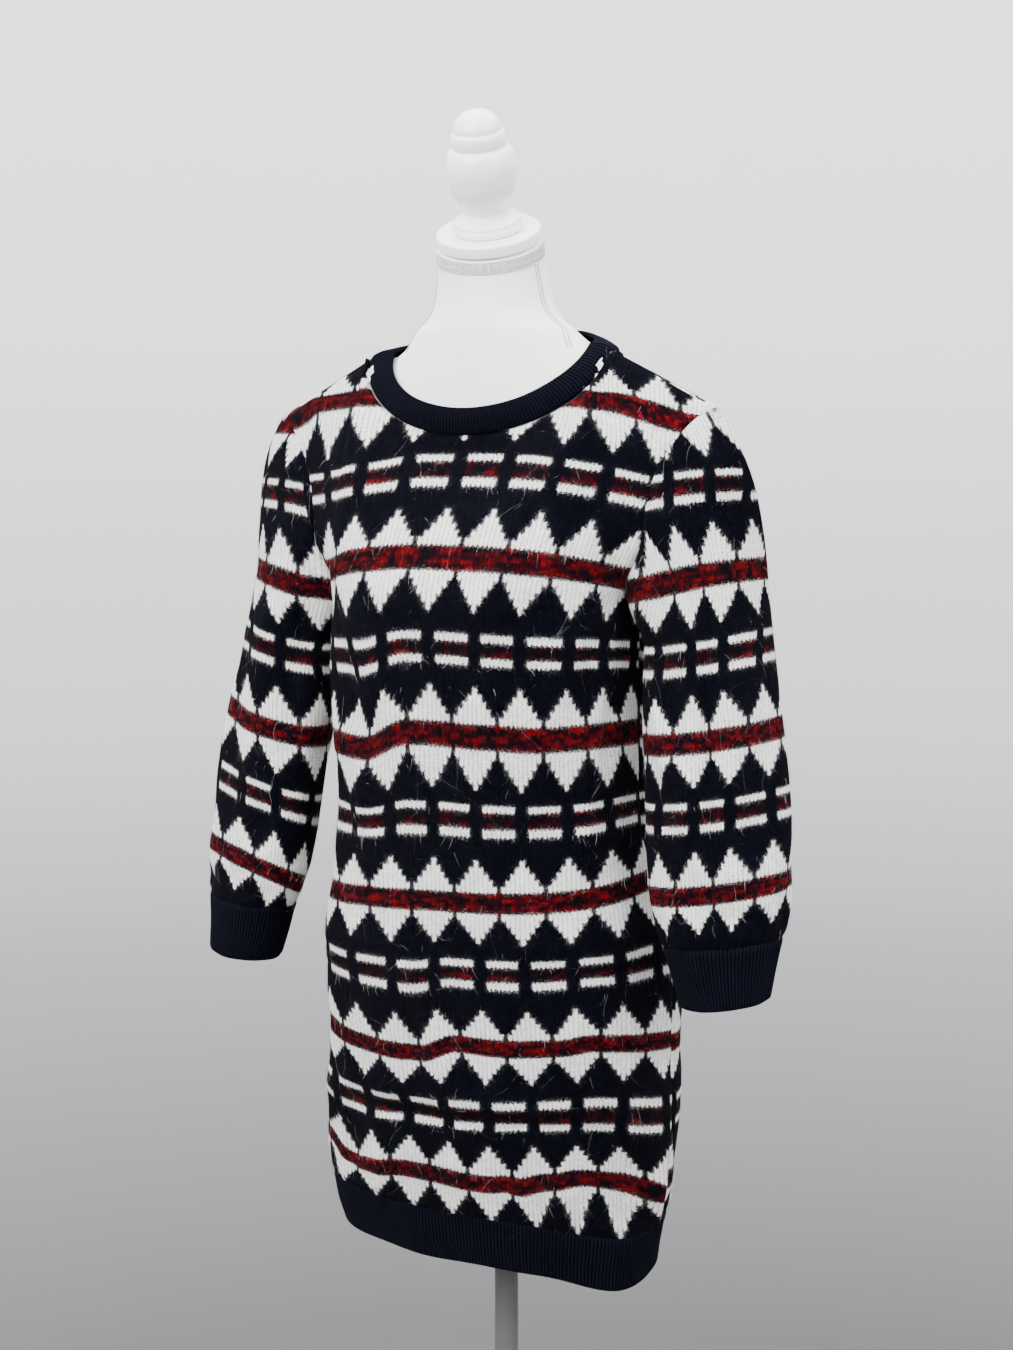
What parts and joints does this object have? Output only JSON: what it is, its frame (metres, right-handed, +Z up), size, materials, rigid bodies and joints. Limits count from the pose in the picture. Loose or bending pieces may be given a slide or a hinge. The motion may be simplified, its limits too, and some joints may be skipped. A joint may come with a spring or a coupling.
{
  "type": "sweater dress on a dress form",
  "caption": "Knitted sweater dress with set-in sleeves and ribbed neck, cuffs and hem, worn on a limbless dress form that stands on a pole and a round foot.",
  "frame": {"origin": "middle of the foot's underside, on the floor, on the pole's axis", "axes": "+Z up along the pole, -Y out of the form's front, +X towards the wearer's left sleeve"},
  "size_m": [0.5828, 0.34, 1.5289],
  "materials": {
    "knit": "jacquard knit in navy, off-white and red marl, brushed nap",
    "rib_knit": "navy rib knit",
    "jersey": "smooth off-white jersey",
    "painted_wood": "white satin paint on turned wood",
    "painted_tube": "grey satin paint"
  },
  "bodies": {
    "root": {"front_panel": "knit", "back_panel": "knit", "sleeve_left": "knit", "sleeve_right": "knit", "neckband": "rib_knit", "hem_rib": "rib_knit", "cuff_left": "rib_knit", "cuff_right": "rib_knit", "torso_form": "jersey", "neck_cap": "painted_wood", "finial": "painted_wood", "pole": "painted_tube", "base": "painted_wood"}
  },
  "joints": []
}
